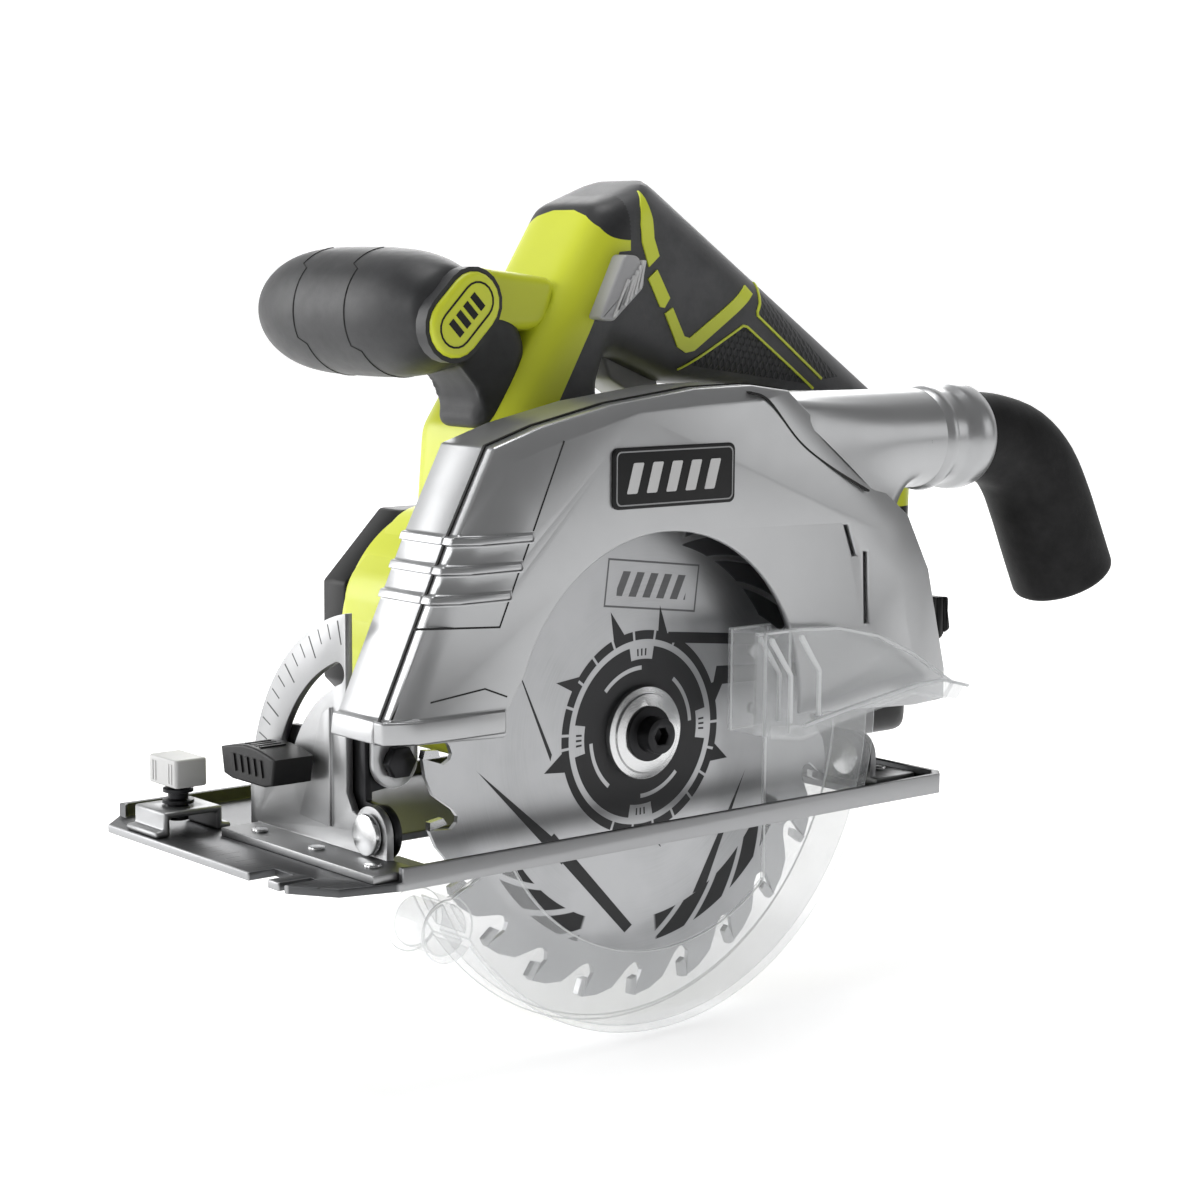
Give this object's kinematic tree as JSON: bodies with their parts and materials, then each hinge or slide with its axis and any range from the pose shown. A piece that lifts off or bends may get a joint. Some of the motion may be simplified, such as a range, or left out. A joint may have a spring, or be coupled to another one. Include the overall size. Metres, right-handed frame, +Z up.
{
  "type": "circular saw",
  "caption": "Hand-held cordless circular saw with a toothed disc blade, cast upper guard, swinging clear lower guard, tilting sole plate, two handles and a dust elbow.",
  "frame": {"origin": "centre of the sole plate's underside", "axes": "+X to the saw's rear, +Y from the blade towards the motor, +Z up"},
  "size_m": [0.3407, 0.1465, 0.2593],
  "materials": {
    "lime_plastic": "satin moulded plastic",
    "dark_rubber": "fine matt overmould",
    "black_plastic": "fine texture",
    "grey_plastic": "moulded",
    "white_plastic": "moulded",
    "cast_silver": "silver-painted casting",
    "gear_alloy": "raw casting",
    "blade_steel": "ground with black print",
    "bright_steel": "machined",
    "plated_steel": "pressed and plated",
    "black_steel": "black oxide",
    "clear_plastic": "clear polycarbonate",
    "copper": "enamelled wire",
    "carbon": "pressed carbon"
  },
  "bodies": {
    "saw": {"housing_left": "lime_plastic", "housing_right": "lime_plastic", "motor_housing": "lime_plastic", "grip_overmould": "dark_rubber", "nose_cap": "black_plastic", "front_handle_arm": "lime_plastic", "front_handle_grip": "dark_rubber", "front_handle_cap": "lime_plastic", "motor_end_cap": "black_plastic", "motor_magnets": "black_steel", "motor_bearings": "bright_steel", "carbon_brushes": "carbon", "gearcase": "gear_alloy", "spindle_bearings": "bright_steel", "upper_guard_outer": "cast_silver", "upper_guard_inner": "cast_silver", "guard_badge": "black_plastic", "dust_spout": "cast_silver", "guard_spring": "bright_steel", "depth_pivot_bolt": "black_steel", "depth_lock_bolt": "bright_steel", "switch_module": "black_plastic", "terminal_block": "black_plastic", "power_leads": "black_plastic", "housing_screws": "black_steel", "guard_screws": "bright_steel", "end_cap_screws": "black_steel"},
    "rotor": {"armature_core": "plated_steel", "armature_windings": "copper", "commutator": "copper", "armature_shaft": "bright_steel", "cooling_fan": "black_plastic", "motor_pinion": "bright_steel"},
    "blade": {"spindle": "bright_steel", "spindle_gear": "bright_steel", "inner_flange": "bright_steel", "saw_blade": "blade_steel", "outer_flange": "bright_steel", "blade_bolt": "black_steel"},
    "lower_guard": {"lower_guard": "clear_plastic", "guard_lever": "clear_plastic", "lever_screws": "bright_steel"},
    "trigger": {"trigger": "grey_plastic"},
    "lock_off": {"lock_off_button": "grey_plastic"},
    "spindle_lock": {"spindle_lock_button": "black_plastic"},
    "dust_elbow": {"dust_elbow": "dark_rubber"},
    "tilt_frame": {"front_tilt_bracket": "black_steel", "depth_arm": "black_steel", "bevel_pins": "bright_steel", "bevel_lock_bolt": "bright_steel"},
    "base": {"base_plate": "plated_steel", "bevel_quadrant": "plated_steel", "rear_bevel_ear": "plated_steel", "fence_bracket": "plated_steel", "base_rivets": "bright_steel"},
    "bevel_lever": {"bevel_lock_lever": "black_plastic"},
    "depth_lever": {"depth_lock_lever": "black_plastic"},
    "fence_knob": {"fence_knob": "white_plastic"}
  },
  "joints": [
    {"name": "blade_spin", "type": "hinge", "parent": "saw", "child": "blade", "pos_m": [0.006, -0.0425, 0.0305], "axis": [0, 1, 0], "continuous": true},
    {"name": "rotor_spin", "type": "hinge", "parent": "saw", "child": "rotor", "pos_m": [0.001, -0.0425, 0.05397], "axis": [0, 1, 0], "continuous": true},
    {"name": "lower_guard_swing", "type": "hinge", "parent": "saw", "child": "lower_guard", "pos_m": [0.006, -0.0425, 0.0305], "axis": [0, 1, 0], "range_deg": [-110, 0], "stiffness_Nm_per_rad": 0.25, "springref_deg": 34.38},
    {"name": "trigger_pull", "type": "hinge", "parent": "saw", "child": "trigger", "pos_m": [0.023, 0.0005, 0.1545], "axis": [0, 1, 0], "range_deg": [-9, 0], "stiffness_Nm_per_rad": 1.5, "springref_deg": 17.19},
    {"name": "lock_off_press", "type": "slide", "parent": "saw", "child": "lock_off", "axis": [0, 1, 0], "range_m": [0, 0.0035], "stiffness_N_per_m": 300, "springref_m": -0.004},
    {"name": "spindle_lock_press", "type": "slide", "parent": "saw", "child": "spindle_lock", "axis": [1, 0, 0], "range_m": [0, 0.0015], "stiffness_N_per_m": 300, "springref_m": -0.003},
    {"name": "dust_elbow_swivel", "type": "hinge", "parent": "saw", "child": "dust_elbow", "pos_m": [0.146, -0.0425, 0.1165], "axis": [1, 0, 0], "range_deg": [-90, 90]},
    {"name": "depth_tilt", "type": "hinge", "parent": "saw", "child": "tilt_frame", "pos_m": [-0.08, -0.0285, 0.0305], "axis": [0, 1, 0], "range_deg": [0, 37]},
    {"name": "depth_lock_turn", "type": "hinge", "parent": "saw", "child": "depth_lever", "pos_m": [0.07, -0.0285, 0.0305], "axis": [0, 1, 0], "range_deg": [-30, 0]},
    {"name": "bevel_tilt", "type": "hinge", "parent": "tilt_frame", "child": "base", "pos_m": [0.006, -0.0395, 0.0115], "axis": [1, 0, 0], "range_deg": [-50, 0]},
    {"name": "bevel_lock_turn", "type": "hinge", "parent": "tilt_frame", "child": "bevel_lever", "pos_m": [-0.094, 0.00467, 0.02757], "axis": [1, 0, 0], "range_deg": [-35, 0]},
    {"name": "fence_knob_turn", "type": "hinge", "parent": "base", "child": "fence_knob", "pos_m": [-0.11, 0.0355, 0.0105], "axis": [0, 0, 1], "continuous": true}
  ],
  "couplings": [
    {"joint": "rotor_spin", "follows": "blade_spin", "ratio": -4.3333}
  ]
}
